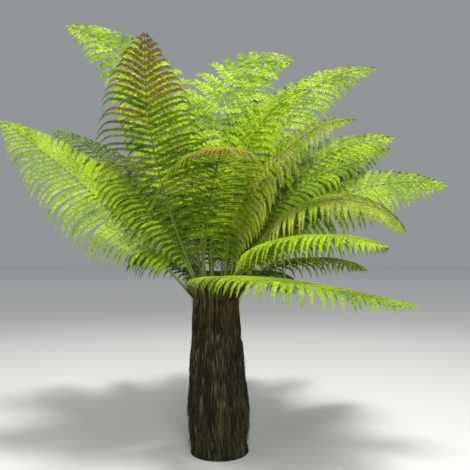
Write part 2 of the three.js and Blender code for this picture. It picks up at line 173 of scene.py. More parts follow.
# Ribs and leaflets grow by the same rule as in the solid model
growth = {
    "steps": 72,           # along a rib
    "bare": 0.17,          # share of the rib with no leaflets
    "first": 0.25,         # length of the first leaflets, as a share of the longest
    "swell": 0.32,         # share of the blade over which they grow to their full length
    "tipPower": 3,         # how late the blade narrows to its tip, and how blunt that is
    "tipBlunt": 0.9,
    "rootLean": 80,        # of a leaflet from the rib, in degrees, at the first pair and the last
    "tipLean": 42,
    "lift": 0.12,          # of a leaflet's root above the blade, in radians
    "droopPower": 1.4,     # how late a leaflet starts to hang
    "hook": 2.4,           # how far its end curls down, and from which share of it
    "hookFrom": 0.5,
    "leafletSteps": 12,
    "lengthSpread": 0.1,   # a leaflet is shorter than the rule by up to this share
    "leanSpread": 5,       # degrees
}


def directionAt(frond, s):
    return level(frond["azimuth"] + frond["sweep"] * s, mix(frond["rise"], frond["fall"], s ** frond["bend"]))


def ribPath(frond):
    point = np.array(plant["crown"]) + frond["ring"] * level(frond.get("foot", frond["azimuth"]))
    path = [point]
    for i in range(growth["steps"]):
        point = point + directionAt(frond, (i + 0.5) / growth["steps"]) * frond["length"] / growth["steps"]
        path.append(point)
    return np.array(path)


# Place on the rib, the way it runs, the blade's left and the blade's upper side
def frameAt(frond, path, s):
    x = s * growth["steps"]
    i = min(int(x), growth["steps"] - 1)
    place = mix(path[i], path[i + 1], x - i)
    forward = directionAt(frond, s)
    side = level(frond["azimuth"] + frond["sweep"] * s + 90)
    light = np.array(plant["light"])
    lit = unit(light - forward * (light @ forward)) * (1 if frond["face"] >= 0 else -1)
    up = unit(mix(np.cross(forward, side), lit, abs(frond["face"])))
    return place, forward, np.cross(up, forward), up


# Length of the leaflets at the share q of the blade, 1 for the longest
def outline(frond, q):
    grown = smooth(q / frond.get("swell", growth["swell"]))
    return mix(growth["first"], 1, grown) * (1 - q ** growth["tipPower"]) ** growth["tipBlunt"]


def leafletPath(frond, path, q, hand):
    place, forward, left, up = frameAt(frond, path, growth["bare"] + (1 - growth["bare"]) * q)
    length = frond["reach"] * outline(frond, q) * (1 - growth["lengthSpread"] * rng.random())
    spread = growth["leanSpread"] * (rng.random() - 0.5)
    lean = math.radians(mix(growth["rootLean"], growth["tipLean"], q * q) + spread)
    out = left * hand * math.cos(growth["lift"]) + up * math.sin(growth["lift"])
    start = forward * math.cos(lean) + out * math.sin(lean)
    steps = growth["leafletSteps"]
    points = [place]
    for k in range(steps):
        t = (k + 0.5) / steps
        weight = t ** growth["droopPower"]
        weight += growth["hook"] * smooth((t - growth["hookFrom"]) / (1 - growth["hookFrom"])) ** 2
        place = place + unit(start - np.array([0, 0, frond["droop"] * weight])) * length / steps
        points.append(place)
    return np.array(points), length, forward


pinnules = {
    "gap": 0.33,           # along the leaflet's midrib, as a share of their length
    "width": 1.1,          # of the comb, as a share of the gap between leaflets
    "combLengths": 1.75,   # width of the comb, in lengths of its longest pinnule
    "fewest": 4,           # on each side of a leaflet
    "end": 0.985,          # share of the midrib that they stand on
    "samples": 80,         # of the comb's outline, to space them by
    "firstSize": 0.7,      # of the first ones, and how fast they gain from there
    "gain": 1.8,
    "tipPower": 2.2,       # how late the comb narrows to its tip, and how blunt that is
    "tipBlunt": 0.7,
    "crowded": 0.4,        # least gap towards the tip, as a share of the widest
    "leastSize": 0.07,     # as a share of the longest
    "sizeFrom": 0.92,      # of the smallest, as a share of the rule's size, and how far that varies
    "sizeSpread": 0.16,
    "rootLean": 76,        # from the midrib, in degrees, at the first ones and the last
    "tipLean": 44,
    "fall": 0.3,           # how far they hang below the leaflet
    "tilt": 0.2,           # how far each turns from the rest, in radians
    # Each tone mixes the green's steps so that a frond is painted as lit or as shaded as it stands: tones
    # mostly of the sunlit green are painted light, those mostly of the darker steps painted shade
    "shades": {            # the share of each colour among the leaflets of a frond
        "bright": {"sunlit": 0.8, "fresh": 0.2},
        "clear": {"sunlit": 0.35, "fresh": 0.65},
        "middle": {"sunlit": 0.1, "fresh": 0.6, "leafy": 0.3},
        "deep": {"fresh": 0.1, "leafy": 0.5, "shaded": 0.4},
        "faded": {"fresh": 0.25, "olive": 0.75},
        # painted light on the top of the arching frond's dome
        "domed": {"sunlit": 0.45, "olive": 0.55},
        # the sunlit green alone: painted light, for a frond in full sun
        "sunlitOnly": {"sunlit": 1.0},
        # mostly the darker steps with a little olive: painted shade, for a frond seen from its shaded side
        "olive": {"olive": 0.2, "leafy": 0.35, "shaded": 0.45},
    },
    # the next darker step of each colour, for painted shade
    "darker": {"sunlit": "fresh", "fresh": "leafy", "leafy": "shaded", "shaded": "shaded", "olive": "leafy"},
    # the leaflets next to the crown are painted a step darker: painted shade from the fronds around them
    "inner": 0.12,         # share of the blade, next to the crown, that is a shade darker
    "russetFrom": 2,       # share of the blade where its tip starts to turn russet, above 1 for never
    "russetOver": 0.3,     # share of the blade over which it turns
    "turnedRate": 2,       # how fast leaflets leave the frond's own colours there
    "russetLeast": 0.15,   # share of russet among the first of them, the others are olive
}


def combShape(t):
    wide = np.minimum(1, pinnules["firstSize"] + pinnules["gain"] * t)
    return wide * (1 - t ** pinnules["tipPower"]) ** pinnules["tipBlunt"]


# Rows of place, aim, lift, size, tint and frond number for the pinnules on both sides of a leaflet
def combAlong(frond, number, points, length, forward, hand, gap):
    fine = np.linspace(0, pinnules["end"], pinnules["samples"])
    crowd = np.cumsum(1 / mix(pinnules["crowded"], 1, combShape(fine)))
    longest = gap * pinnules["width"] / pinnules["combLengths"]
    count = int(length / (pinnules["gap"] * longest) * crowd[-1] / len(fine))
    count = max(pinnules["fewest"], count)
    t = np.interp((np.arange(count) + 0.5) / count * crowd[-1], crowd, fine)
    place, along, _ = alongPath(points, t)
    normal = unit(hand * np.cross(forward, along))
    sky = unit(np.array([0, 0, 1.0]) - along * along[:, 2:])
    normal = unit(mix(normal, sky, frond["turn"]))
    across = np.cross(normal, along)
    lean = np.radians(mix(pinnules["rootLean"], pinnules["tipLean"], t))[:, None]
    own = pinnules["sizeFrom"] + pinnules["sizeSpread"] * rng.random(count)
    size = longest * mix(pinnules["leastSize"], 1, combShape(t)) * own
    rows = []
    for side in (1, -1):
        aim = along * np.cos(lean) + across * side * np.sin(lean)
        aim = unit(aim - np.array([0, 0, pinnules["fall"] * frond["droop"]]))
        rows.append(np.column_stack([place, aim, normal, size, rng.random(count), np.full(count, number)]))
    return np.concatenate(rows)


# Ribs of the fronds and midribs of the leaflets
stalks = {
    "rootRadius": 0.0105,
    "tipRadius": 0.0022,
    "taper": 0.8,          # 1 thins a rib evenly, less thins it more near the crown
    "leafletRoot": 0.0026,
    "leafletTip": 0.0009,
    "sides": 8,
    "leafletSides": 3,
    "brownTo": 0.1,        # share of the rib over which its foot turns from brown to green
}


def growFoliage():
    combs, leafletRibs, ribs = {}, [], []
    for number, frond in enumerate(fronds.values()):
        path = ribPath(frond)
        s = np.linspace(0, 1, len(path))
        radius = mix(stalks["rootRadius"], stalks["tipRadius"], s ** stalks["taper"])
        ups = np.array([frameAt(frond, path, v)[3] for v in s])
        ribs.append((path - ups * radius[:, None], radius, smooth(s / stalks["brownTo"])))
        gap = frond["length"] * (1 - growth["bare"]) / frond["pairs"]
        shades = pinnules["shades"][frond["tone"]]
        for pair in range(frond["pairs"]):
            q = (pair + 0.5) / frond["pairs"]
            for hand in (1, -1):
                points, length, forward = leafletPath(frond, path, q, hand)
                shade = str(rng.choice(list(shades), p=list(shades.values())))
                # painted shade: leaflets next to the crown take a darker step
                if q < frond.get("inner", pinnules["inner"]):
                    shade = pinnules["darker"][shade]
                turned = smooth((q - frond.get("russet", pinnules["russetFrom"])) / pinnules["russetOver"])
                if rng.random() < pinnules["turnedRate"] * turned:
                    shade = "russet" if rng.random() < pinnules["russetLeast"] + turned else "olive"
                radii = mix(stalks["leafletRoot"], stalks["leafletTip"], np.linspace(0, 1, len(points)))
                leafletRibs.append((points, radii, np.full(len(points), q)))
                rows = combAlong(frond, number, points, length, forward, hand, gap)
                combs.setdefault(shade, []).append(rows)
    return combs, leafletRibs, ribs


# Geometry Nodes set one shape on many points, and draw tubes along paths
class NodeTree:
    def __init__(self, name, sizes):
        self.group = bpy.data.node_groups.new(name, "GeometryNodeTree")
        self.group.interface.new_socket("Geometry", in_out="INPUT", socket_type="NodeSocketGeometry")
        self.sockets = {}
        for label, (kind, value) in sizes.items():
            socket = self.group.interface.new_socket(label, in_out="INPUT", socket_type=kind)
            if value is not None:
                socket.default_value = value
            self.sockets[label] = socket.identifier
        self.group.interface.new_socket("Geometry", in_out="OUTPUT", socket_type="NodeSocketGeometry")
        self.start = self.group.nodes.new("NodeGroupInput")

    def add(self, kind, inputs=None, **settings):
        return nodeIn(self.group, kind, inputs, **settings)

    def read(self, attribute, kind):
        named = self.add("GeometryNodeInputNamedAttribute", {"Name": attribute}, data_type=kind)
        return named.outputs["Attribute"]

    def end(self, geometry):
        real = self.add("GeometryNodeRealizeInstances", {"Geometry": geometry})
        painted = self.add("GeometryNodeSetMaterial", {
            "Geometry": real.outputs[0], "Material": self.start.outputs["Material"]})
        self.add("NodeGroupOutput", {"Geometry": painted.outputs[0]})


def nodeIn(tree, kind, inputs=None, **settings):
    node = tree.nodes.new(kind)
    for key, value in settings.items():
        setattr(node, key, value)
    for key, value in (inputs or {}).items():
        if isinstance(value, bpy.types.NodeSocket):
            tree.links.new(value, node.inputs[key])
        else:
            node.inputs[key].default_value = value
    return node


def makeScatterTree():
    tree = NodeTree("shapesOnPoints", {
        "Shape": ("NodeSocketObject", None),
        "Width": ("NodeSocketFloat", 1.0),
        "Tilt": ("NodeSocketFloat", 0.1),
        "Seed": ("NodeSocketInt", 1),
        "Material": ("NodeSocketMaterial", None),
    })
    start = tree.start.outputs
    shape = tree.add("GeometryNodeObjectInfo", {"Object": start["Shape"]})
    size = tree.read("size", "FLOAT")
    wide = tree.add("ShaderNodeMath", {0: size, 1: start["Width"]}, operation="MULTIPLY")
    scale = tree.add("ShaderNodeCombineXYZ", {"X": wide.outputs[0], "Y": size, "Z": wide.outputs[0]})
    facing = tree.add("FunctionNodeAxesToRotation", {
        "Primary Axis": tree.read("aim", "FLOAT_VECTOR"),
        "Secondary Axis": tree.read("lift", "FLOAT_VECTOR"),
    }, primary_axis="Y", secondary_axis="Z")
    least = tree.add("ShaderNodeMath", {0: start["Tilt"], 1: -1.0}, operation="MULTIPLY")
    sway = tree.add("FunctionNodeRandomValue", {
        "Min": least.outputs[0], "Max": start["Tilt"], "Seed": start["Seed"]}, data_type="FLOAT_VECTOR")
    turned = tree.add("FunctionNodeRotateRotation", {
        "Rotation": facing.outputs[0], "Rotate By": sway.outputs[0]}, rotation_space="LOCAL")
    placed = tree.add("GeometryNodeInstanceOnPoints", {
        "Points": start["Geometry"], "Instance": shape.outputs["Geometry"],
        "Rotation": turned.outputs[0], "Scale": scale.outputs[0]})
    tree.end(placed.outputs[0])
    return tree


def makeTubeTree():
    tree = NodeTree("tubesOnPaths", {
        "Sides": ("NodeSocketInt", 6),
        "Material": ("NodeSocketMaterial", None),
    })
    start = tree.start.outputs
    curve = tree.add("GeometryNodeMeshToCurve", {"Mesh": start["Geometry"]})
    ring = tree.add("GeometryNodeCurvePrimitiveCircle", {"Resolution": start["Sides"], "Radius": 1.0})
    tube = tree.add("GeometryNodeCurveToMesh", {
        "Curve": curve.outputs[0], "Profile Curve": ring.outputs[0],
        "Scale": tree.read("thick", "FLOAT"), "Fill Caps": True})
    tree.end(tube.outputs[0])
    return tree


def grow(thing, tree, **values):
    modifier = thing.modifiers.new("grow", "NODES")
    modifier.node_group = tree.group
    for label, value in values.items():
        modifier[tree.sockets[label]] = value
    evaluated = thing.evaluated_get(bpy.context.evaluated_depsgraph_get())
    mesh = bpy.data.meshes.new_from_object(evaluated)
    thing.modifiers.remove(modifier)
    thing.data = mesh
    for key in ("aim", "lift", "size", "thick"):
        if key in mesh.attributes:
            mesh.attributes.remove(mesh.attributes[key])
    return thing


def pointsObject(name, rows):
    mesh = bpy.data.meshes.new(name)
    mesh.from_pydata(rows[:, :3].tolist(), [], [])
    mesh.attributes.new("aim", "FLOAT_VECTOR", "POINT").data.foreach_set("vector", rows[:, 3:6].ravel())
    mesh.attributes.new("lift", "FLOAT_VECTOR", "POINT").data.foreach_set("vector", rows[:, 6:9].ravel())
    mesh.attributes.new("size", "FLOAT", "POINT").data.foreach_set("value", rows[:, 9].copy())
    mesh.attributes.new("tint", "FLOAT", "POINT").data.foreach_set("value", rows[:, 10].copy())
    return addObject(name, mesh)


# Each path is its points, their radii and their greenness from 0 to 1
def pathsObject(name, paths):
    mesh = bpy.data.meshes.new(name)
    edges, first = [], 0
    for points, _, _ in paths:
        edges += [(first + i, first + i + 1) for i in range(len(points) - 1)]
        first += len(points)
    mesh.from_pydata(np.concatenate([p[0] for p in paths]).tolist(), edges, [])
    for key, column in (("thick", 1), ("green", 2)):
        values = np.concatenate([p[column] for p in paths])
        mesh.attributes.new(key, "FLOAT", "POINT").data.foreach_set("value", values)
    return addObject(name, mesh)


# The shapes that are set on the points are 1 long, along +Y
pinnuleShape = {
    "lobes": 3,            # along each edge
    "lobed": 0.94,         # share of the length that they take
    "tip": 1.06,           # where the blade ends
    "width": 0.23,         # from the midline to the first lobe, and to the last as a share of that
    "tipShare": 0.62,
    "notch": 0.66,         # width between two lobes, as a share of the lobe before it
    "peak": 0.6,           # where in its stretch a lobe is widest, and where the notch lies
    "cleft": 1.02,
    "fold": 0.06,          # how far the edges hang below the midline, and the tip below the root
    "bow": 0.05,
    # the blade is painted lighter from its midline out to its lobes: a painted highlight on the edges
    "notchTone": 0.3,      # lightness of the notches, where the midline's root has 0 and the lobes 1
}


# A blade folded along its midline, each half one flat face with a lobed edge
def makePinnule():
    shape = pinnuleShape
    step = shape["lobed"] / shape["lobes"]
    edge, spread = [], [0.0, 1.0]
    for i in range(shape["lobes"]):
        reach = shape["width"] * mix(1, shape["tipShare"], i / (shape["lobes"] - 1))
        edge += [(reach, step * (i + shape["peak"])), (reach * shape["notch"], step * (i + shape["cleft"]))]
        spread += [1.0, shape["notchTone"]]
    edge, spread = edge[:-1], spread[:-1]
    corners = [(0, 0, 0), (0, shape["tip"], -shape["bow"] * shape["tip"])]
    for side in (1, -1):
        corners += [(side * x, y, -shape["bow"] * y - shape["fold"] * x / shape["width"]) for x, y in edge]
    right = list(range(2, 2 + len(edge)))
    left = [n + len(edge) for n in right]
    thing = meshObject("pinnule", corners, [[0, *right, 1], [1, *left[::-1], 0]], smoothed=False)
    spread += spread[2:]
    # spread carries that painted highlight, 0 at the midline's root, 1 at the tip and on the lobes
    thing.data.attributes.new("spread", "FLOAT", "POINT").data.foreach_set("value", spread)
    return thing


strandShape = {
    "rings": ((0, 0.014, 0), (0.45, 0.013, 1), (0.8, 0.008, 0.8)),  # place, radius and share of the bow
    "bow": 0.06,           # to +Z
    "tipBow": 0.3,         # share of the bow at the tip
}


# A three-sided hair
def makeStrand():
    bow, corners, faces = strandShape["bow"], [], []
    for y, radius, share in strandShape["rings"]:
        for k in range(3):
            turn = 2 * math.pi * k / 3
            corners.append((radius * math.cos(turn), y, bow * share + radius * math.sin(turn)))
    tip = len(corners)
    corners.append((0, 1, bow * strandShape["tipBow"]))
    for ring in range(0, tip - 3, 3):
        for k in range(3):
            n = (k + 1) % 3
            faces.append((ring + n, ring + k, ring + 3 + k, ring + 3 + n))
    faces += [(tip - 3 + (k + 1) % 3, tip - 3 + k, tip) for k in range(3)]
    faces.append((0, 1, 2))
    return meshObject("strand", corners, faces)


trunk = {
    "height": 1.105,
    "lean": -0.03,         # of its top, along X
    "profile": [(0, 0.208), (0.07, 0.196), (0.33, 0.213), (0.61, 0.194), (0.875, 0.17), (1.105, 0.15)],
    "sides": 320,          # of its mesh, and levels up it
    "levels": 150,
    "bases": 520,          # ends of shed fronds all over it
    "turn": 137.508,       # from one to the next, in degrees
    "narrowest": 0.012,    # width, length and height of an old base
    "widest": 0.028,
    "shortest": 0.09,
    "longest": 0.26,
    "lowest": 0.006,
    "proudest": 0.019,
    "sway": 0.05,          # how far its height on the trunk varies
    "slant": 0.15,         # how far it leans to a side, as a share of its length
    "footWidth": 0.55,     # at its lower end, as a share of its full width, and how fast it widens
    "widening": 1.6,
    "riseOver": 0.7,       # share of its length over which it rises
    "tear": 0.05,          # share of its length over which it drops at its torn end, and how far that varies
    "tearSpread": 0.3,
    "dullest": 0.15,       # of the darkest base, where the palest has 1
    "fibre": 0.005,        # height of the ropy ground between them
    "ropes": ((0.6, 90, 14), (0.4, 150, 34)),  # share of that, and hills round the trunk and up it
    "sunk": 0.006,         # of that ground in the profile
    "plainFoot": 0.012,    # share of the height over which all relief fades out at the flat cut
    "rust": 0.7,           # strength of the rusty patches, where they start and how far up they fill out
    "rustFrom": 0.75,
    "rustOver": 0.3,
    "rustPatches": (16, 9),  # round the trunk and up it
    "rustContrast": 2.4,
    "dome": 0.05,          # height of the crown's middle above the rim
    "domeRings": (0.8, 0.55, 0.28),  # of its mesh, as shares of the rim's radius
}


def profileRadius(z):
    heights, radii = zip(*trunk["profile"])
    z = np.clip(z, heights[0], heights[-1])
    i = np.clip(np.searchsorted(heights, z, side="right") - 1, 0, len(heights) - 2)
    low, high = np.array(heights)[i], np.array(heights)[i + 1]
    return mix(np.array(radii)[i], np.array(radii)[i + 1], smooth((z - low) / (high - low)))


# Smooth random hills on the unrolled trunk: u goes once round from 0 to 1, v goes up it
def hills(u, v, around, up):
    lattice = rng.random((up + 2, around))
    x, y = u * around, v * up
    i, j = np.floor(x).astype(int), np.floor(y).astype(int)
    fx, fy = smooth(x - i), smooth(y - j)
    i, k = i % around, (i + 1) % around
    return mix(mix(lattice[j, i], lattice[j, k], fx), mix(lattice[j + 1, i], lattice[j + 1, k], fx), fy)


# Height and paleness of the old bases, which stand in a spiral, each a slim ridge with a torn upper end. The
# paleness is partly a painted highlight, strongest on each ridge's crest, and partly a tone that differs at
# random
def oldBases(u, z):
    height, pale = np.zeros(u.shape), np.zeros(u.shape)
    for k in range(trunk["bases"]):
        long, wide, proud, tone, sway = rng.random(5)
        middle = (k + 0.5) / trunk["bases"] * trunk["height"] + trunk["sway"] * (sway - 0.5)
        length = mix(trunk["shortest"], trunk["longest"], long)
        width = mix(trunk["narrowest"], trunk["widest"], wide)
        away = (u - trunk["turn"] * k / 360 + 0.5) % 1 - 0.5
        along = (z - middle) / length + 0.5
        slant = trunk["slant"] * (sway - 0.5) * (along - 0.5) * length
        widened = mix(trunk["footWidth"], 1, smooth(along * trunk["widening"]))
        across = (away * 2 * math.pi * profileRadius(z) - slant) / (width / 2) / widened
        inside = (np.abs(across) < 1) & (along > 0) & (along < 1)
        ridge = np.where(inside, np.sqrt(np.clip(1 - across ** 2, 0, 1)), 0)
        torn = np.clip((1 - along) / (trunk["tear"] + trunk["tearSpread"] * tone), 0, 1)
        ridge *= smooth(along / trunk["riseOver"]) * torn
        rise = ridge * mix(trunk["lowest"], trunk["proudest"], proud)
        # painted highlight: paleness follows the ridge's height, times the base's random tone
        pale = np.where(rise > height, ridge * mix(trunk["dullest"], 1, tone ** 2), pale)
        height = np.maximum(height, rise)
    return height, pale


def trunkSkin():
    shape = (trunk["levels"] + 1, trunk["sides"])
    u = np.broadcast_to(np.arange(shape[1]) / shape[1], shape)
    v = np.broadcast_to(np.linspace(0, 1, shape[0])[:, None], shape)
    z = v * trunk["height"]
    height, pale = oldBases(u, z)
    ropes = sum(share * hills(u, v, around, up) for share, around, up in trunk["ropes"]) - 0.5
    relief = height + trunk["fibre"] * ropes * 2 - trunk["sunk"]
    radius = profileRadius(z) + relief * smooth(v / trunk["plainFoot"])
    rust = trunk["rust"] * smooth((z - trunk["rustFrom"]) / trunk["rustOver"])
    rust = rust * smooth((hills(u, v, *trunk["rustPatches"]) - 0.5) * trunk["rustContrast"])
    return u, z, radius, pale, rust


def trunkPlace(turn, z, radius):
    leaned = trunk["lean"] * z / trunk["height"]
    return np.stack([leaned + radius * np.cos(turn), radius * np.sin(turn), z], -1)


def makeTrunk(skin):
    u, z, radius, pale, rust = skin
    levels, sides = z.shape
    turn = u * 2 * math.pi
    corners = list(trunkPlace(turn, z, radius).reshape(-1, 3))
    for share in trunk["domeRings"]:
        ring = trunkPlace(turn[-1], np.full(sides, trunk["height"]), radius[-1] * share)
        ring[:, 2] += trunk["dome"] * (1 - share * share)
        corners += list(ring)
    corners += [np.array([trunk["lean"], 0, trunk["height"] + trunk["dome"]]), np.zeros(3)]
    levels += len(trunk["domeRings"])
    i = np.arange(sides)
    n = (i + 1) % sides
    faces = []
    for j in range(levels - 1):
        a, b = j * sides, (j + 1) * sides
        faces += np.stack([a + i, a + n, b + n, b + i], -1).tolist()
    top, foot = levels * sides, levels * sides + 1
    faces += [[top - sides + k, top - sides + m, top] for k, m in zip(i.tolist(), n.tolist())]
    faces += [[m, k, foot] for k, m in zip(i.tolist(), n.tolist())]
    thing = meshObject("fibrousTrunk", corners, faces)
    for name, values in (("pale", pale), ("rust", rust)):
        rest = np.zeros(len(corners) - values.size)
        field = thing.data.attributes.new(name, "FLOAT", "POINT")
        field.data.foreach_set("value", np.concatenate([values.ravel(), rest]))
    return thing


# Stubs of shed fronds on the crown, and the feet of the living ones, both grow out of the trunk's side
stubs = {
    "count": 78,
    "turn": 137.5,         # from one to the next, in degrees, and how far that varies
    "turnSpread": 12,
    "dealt": 0.618,        # deals them out between the inner and the outer ring
    "crowding": 0.4,       # less sets more of them on the outer ring
    "shortest": 0.05,      # above the rim
    "longest": 0.21,
    "tilt": (12, 40),      # outwards from upright, on the inner and the outer ring
    "ring": (0.1, 0.166),
    "thinnest": 0.005,
    "thickest": 0.0115,
    "sides": 10,
    "from": 0.87,          # where their feet come out of the trunk, and how far up that varies
    "fromSpread": 0.13,
    "proud": 0.006,        # of the trunk's side there
    "footSteps": 7,        # from there to the rim
    "footRadius": 0.45,    # as a share of that at the rim, and how fast it grows
    "footGrowth": 1.6,
    "rimGreen": (0.15, 0.7),  # greenness at the rim and at the tip, of the oldest and of the youngest
    "tipGreen": (0.7, 1),
    "bow": ((0.15, 0.6), (0.4, 0.9), (0.7, 1.0), (1.0, 1.1)),  # share of the length, and of the tilt there
    "taper": 0.45,         # share of its radius that a stub loses up to its tip
}


def growBases():
    paths = []
    for i in range(stubs["count"]):
        outer = (i * stubs["dealt"] % 1) ** stubs["crowding"]
        turn = stubs["turn"] * i + stubs["turnSpread"] * (rng.random() - 0.5)
        length = mix(stubs["shortest"], stubs["longest"], rng.random())
        radius = mix(stubs["thinnest"], stubs["thickest"], rng.random())
        paths.append(basePath(turn, length, mix(*stubs["tilt"], outer), radius, mix(*stubs["ring"], outer)))
    for frond in fronds.values():
        if frond["ring"] >= stubs["ring"][0]:
            turn = frond.get("foot", frond["azimuth"])
            paths.append(basePath(turn, 0, 0, stalks["rootRadius"], frond["ring"]))
    return paths


def basePath(turn, length, tilt, radius, ring):
    start = stubs["from"] + stubs["fromSpread"] * rng.random()
    heights = np.linspace(start, trunk["height"], stubs["footSteps"])
    share = (heights - start) / (trunk["height"] - start)
    reach = mix(profileRadius(heights) + stubs["proud"], ring, share ** 2)
    points = trunkPlace(math.radians(turn), heights, reach)
    radii = radius * mix(stubs["footRadius"], 1, smooth(share * stubs["footGrowth"]))
    young = math.sin(3 * turn) ** 2  # from 0 to 1, another value for each stub
    green = mix(*stubs["rimGreen"], young) * share ** 2
    if length:
        bow = np.array(stubs["bow"])
        leans = np.array([level(turn, 90 - tilt * part) for part in bow[:, 1]])
        steps = np.diff(bow[:, :1], axis=0, prepend=0)
        points = np.concatenate([points, points[-1] + np.cumsum(leans * steps, 0) * length])
        radii = np.concatenate([radii, radii[-1] * (1 - stubs["taper"] * bow[:, 0])])
        green = np.concatenate([green, mix(green[-1], mix(*stubs["tipGreen"], young), bow[:, 0])])
    return points, radii, green


# Hairs on the crown's dome, and on the stubs and feet around it
hairs = {
    "crown": 2600,         # on the dome
    "each": 46,            # on each stub or foot
    "shortest": 0.035,
    "longest": 0.08,
    "width": 0.9,
    "tilt": 0.25,          # how far each turns from the rest, in radians
    "seed": 3,
    "ground": 0.15,        # radius of the dome that bears them
    "sunk": 0.004,         # of their feet in it
    "lean": 0.6,           # outwards, for the way from the dome's middle to its edge
    "leanMiddle": 0.2,     # share of that by which those in the middle lean too
    "ruffle": 0.35,        # how far their directions vary
    "stubFrom": 0.25,      # share of a stub where they start, and over which they stand
    "stubOver": 0.7,
    "stubSize": 0.6,       # their length there, as a share of that on the dome
    "seat": 0.9,           # how far their feet are from a stub's middle, as a share of its radius
    "off": 0.35,           # how far they lean off a stub, and how far that varies
    "offSpread": 0.4,
}


def crownHairs(paths):
    count = hairs["crown"]
    out = outwards(rng.random(count) * 2 * math.pi)
    share = np.sqrt(rng.random(count))
    place = np.array([trunk["lean"], 0, trunk["height"]]) + out * hairs["ground"] * share[:, None]
    place[:, 2] += trunk["dome"] * (1 - share ** 2) - hairs["sunk"]
    aim = out * hairs["lean"] * (hairs["leanMiddle"] + share)[:, None] + np.array([0, 0, 1.0])
    aim = unit(aim + hairs["ruffle"] * (rng.random((count, 3)) - 0.5))
    size = mix(hairs["shortest"], hairs["longest"], rng.random(count))
    rows = [np.column_stack([place, aim, out, size, rng.random(count)])]
    for points, radii, _ in paths:
        count = hairs["each"]
        place, along, i = alongPath(points, hairs["stubFrom"] + hairs["stubOver"] * rng.random(count))
        out = unit(np.cross(along, rng.random((count, 3)) - 0.5))
        aim = unit(along + out * (hairs["off"] + hairs["offSpread"] * rng.random((count, 1))))
        size = mix(hairs["shortest"], hairs["longest"], rng.random(count)) * hairs["stubSize"]
        place = place + out * radii[i][:, None] * hairs["seat"]
        rows.append(np.column_stack([place, aim, out, size, rng.random(count)]))
    return np.concatenate(rows)


# Roots that run down the trunk
roots = {
    "count": 3200,
    "shortest": 0.05,
    "longest": 0.13,
    "shortPower": 1.5,     # more makes more of them short
    "toGround": 0.9,       # no root is longer than this share of the height that it starts at
    "width": 1.0,
    "tilt": 0.04,          # how far each turns from the rest, in radians
    "seed": 5,
    "bareFoot": 8,         # levels of the trunk's mesh that bear none, at its foot and at its top
    "bareTop": 4,
    "sunk": 0.001,
    "stray": 0.22,         # how far their lower ends go to the sides, and out from the trunk
    "outwards": 0.03,
}


def trunkRoots(skin):
    _, z, radius, _, _ = skin
    levels, sides = z.shape
    count = roots["count"]
    j = rng.integers(roots["bareFoot"], levels - roots["bareTop"], count)
    i = rng.integers(0, sides, count)
    size = mix(roots["shortest"], roots["longest"], rng.random(count) ** roots["shortPower"])
    size = np.minimum(size, z[j, i] * roots["toGround"])
    turn = i / sides * 2 * math.pi
    place = trunkPlace(turn, z[j, i], radius[j, i] - roots["sunk"])
    out = outwards(turn)
    around = np.cross([0, 0, 1.0], out)
    aim = np.array([0, 0, -1.0]) + around * roots["stray"] * (rng.random((count, 1)) - 0.5)
    return np.column_stack([place, unit(aim + out * roots["outwards"]), out, size, rng.random(count)])


# A colour as a screen shows it, 0 to 255, turned into the linear values that a shader takes
def colour(red, green, blue):
    linear = [((v / 255 + 0.055) / 1.055) ** 2.4 if v > 10 else v / 255 / 12.92 for v in (red, green, blue)]
    return (*linear, 1)


def shaderGroup(name, inputs, outputs):
    group = bpy.data.node_groups.new(name, "ShaderNodeTree")
    for label, (kind, value) in inputs.items():
        group.interface.new_socket(label, in_out="INPUT", socket_type=kind).default_value = value
    for label, kind in outputs.items():
        group.interface.new_socket(label, in_out="OUTPUT", socket_type=kind)
    return group, group.nodes.new("NodeGroupInput"), group.nodes.new("NodeGroupOutput")


mottling = {
    "patchDetail": 2.0,
    "fineDetail": 4.0,
    "darkTo": 0.7,         # sum of both noises up to which the dark colour is plain
    "lightFrom": 1.3,      # and from which the light one is
    "gloss": 0.08,         # how much smoother the light spots are, and rougher the dark ones
    "depth": 0.003,        # of the relief that follows it
}


# Uneven colour: soft patches and fine specks between a dark and a light colour
def makeMottle():
    group, start, end = shaderGroup("mottle", {
        "Dark": ("NodeSocketColor", (0.1, 0.1, 0.1, 1)),
        "Light": ("NodeSocketColor", (0.5, 0.5, 0.5, 1)),
        "Patch": ("NodeSocketFloat", 9.0),
        "Fine": ("NodeSocketFloat", 120.0),
        "Stretch": ("NodeSocketVector", (1.0, 1.0, 1.0)),
        "Shift": ("NodeSocketFloat", 0.0),
    }, {"Color": "NodeSocketColor", "Mask": "NodeSocketFloat"})
    place = nodeIn(group, "ShaderNodeTexCoord")
    scaled = nodeIn(group, "ShaderNodeVectorMath", {
        0: place.outputs["Object"], 1: start.outputs["Stretch"]}, operation="MULTIPLY")
    patch = nodeIn(group, "ShaderNodeTexNoise", {
        "Vector": scaled.outputs[0], "Scale": start.outputs["Patch"], "Detail": mottling["patchDetail"]})
    fine = nodeIn(group, "ShaderNodeTexNoise", {
        "Vector": scaled.outputs[0], "Scale": start.outputs["Fine"], "Detail": mottling["fineDetail"]})
    both = nodeIn(group, "ShaderNodeMath", {0: patch.outputs[0], 1: fine.outputs[0]}, operation="ADD")
    moved = nodeIn(group, "ShaderNodeMath", {0: both.outputs[0], 1: start.outputs["Shift"]}, operation="ADD")
    mask = nodeIn(group, "ShaderNodeMapRange", {
        "Value": moved.outputs[0], "From Min": mottling["darkTo"], "From Max": mottling["lightFrom"]})
    blend = nodeIn(group, "ShaderNodeMix", {
        "Factor": mask.outputs[0], "A": start.outputs["Dark"], "B": start.outputs["Light"]}, data_type="RGBA")
    group.links.new(blend.outputs["Result"], end.inputs["Color"])
    group.links.new(mask.outputs[0], end.inputs["Mask"])
    return group


mottle = makeMottle()


